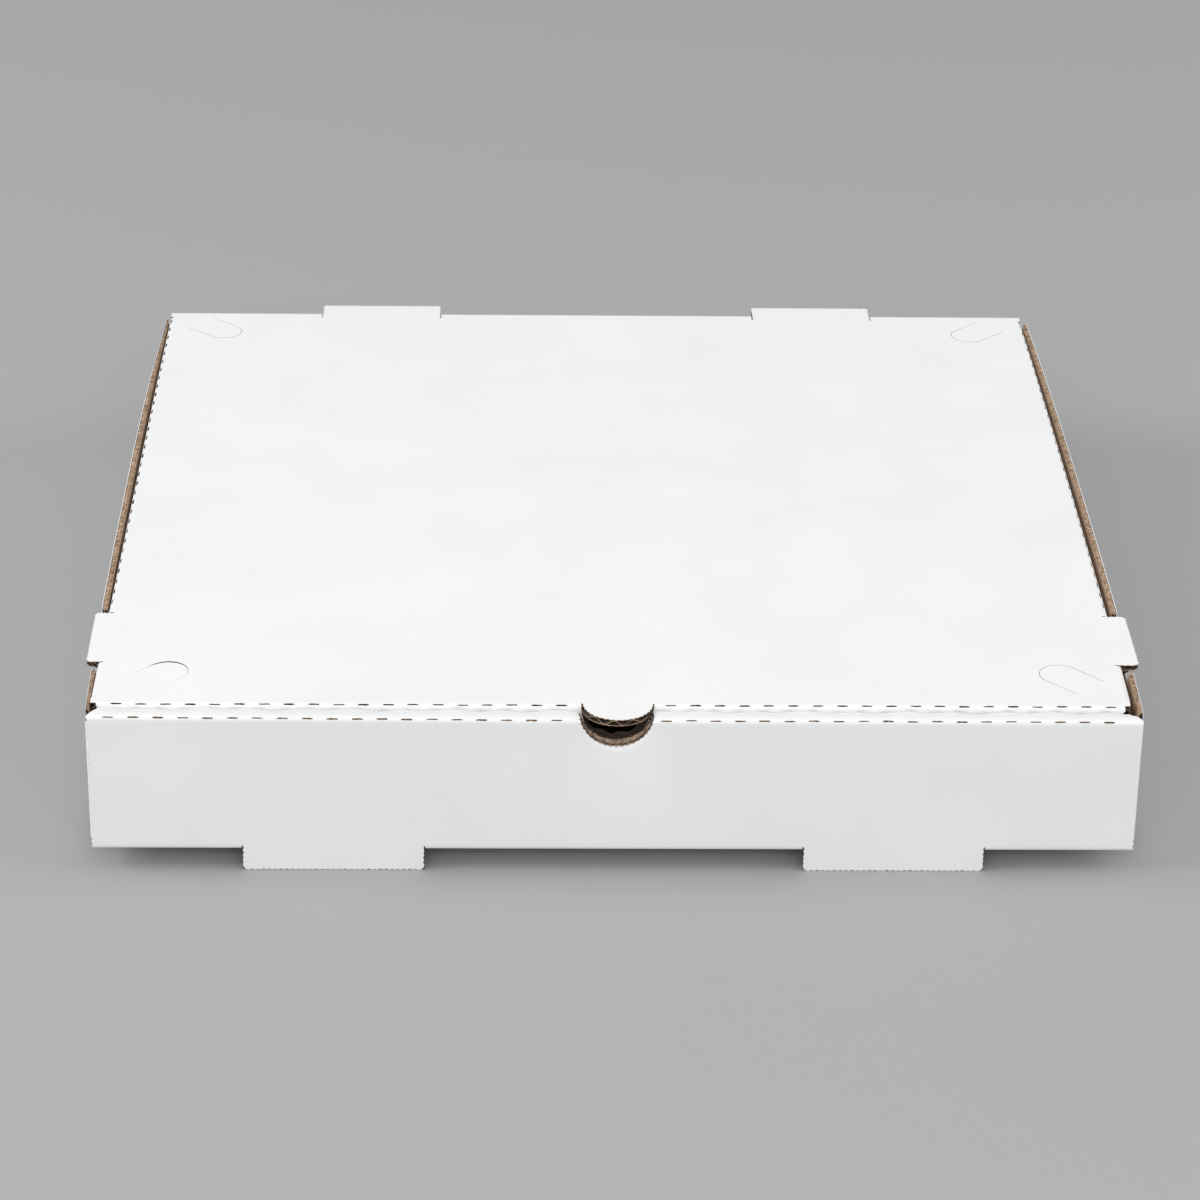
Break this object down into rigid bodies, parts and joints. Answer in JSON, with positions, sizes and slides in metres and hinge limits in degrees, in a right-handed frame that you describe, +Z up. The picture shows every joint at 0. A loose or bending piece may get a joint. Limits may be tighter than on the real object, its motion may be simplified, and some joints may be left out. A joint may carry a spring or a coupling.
{
  "type": "pizza box",
  "caption": "Shallow square folded corrugated carton with hinged lid, roll-over front wall, finger notch, short feet and corner tongues.",
  "frame": {"origin": "middle of the footprint, at the height of the feet's lower edges", "axes": "+X to the right, +Y from the front wall to the hinged back edge, +Z up"},
  "size_m": [0.3648, 0.365, 0.0597],
  "materials": {
    "white_board": "matt white paper liner on fluted board",
    "kraft_board": "bare brown kraft liner and fluting, matt"
  },
  "bodies": {
    "tray": {"tray": "white_board"},
    "lid": {"lid": "white_board"}
  },
  "joints": [
    {"name": "lid_hinge", "type": "hinge", "parent": "tray", "child": "lid", "pos_m": [0, 0.17455, 0.0597], "axis": [-1, 0, 0], "range_deg": [0, 180]}
  ]
}
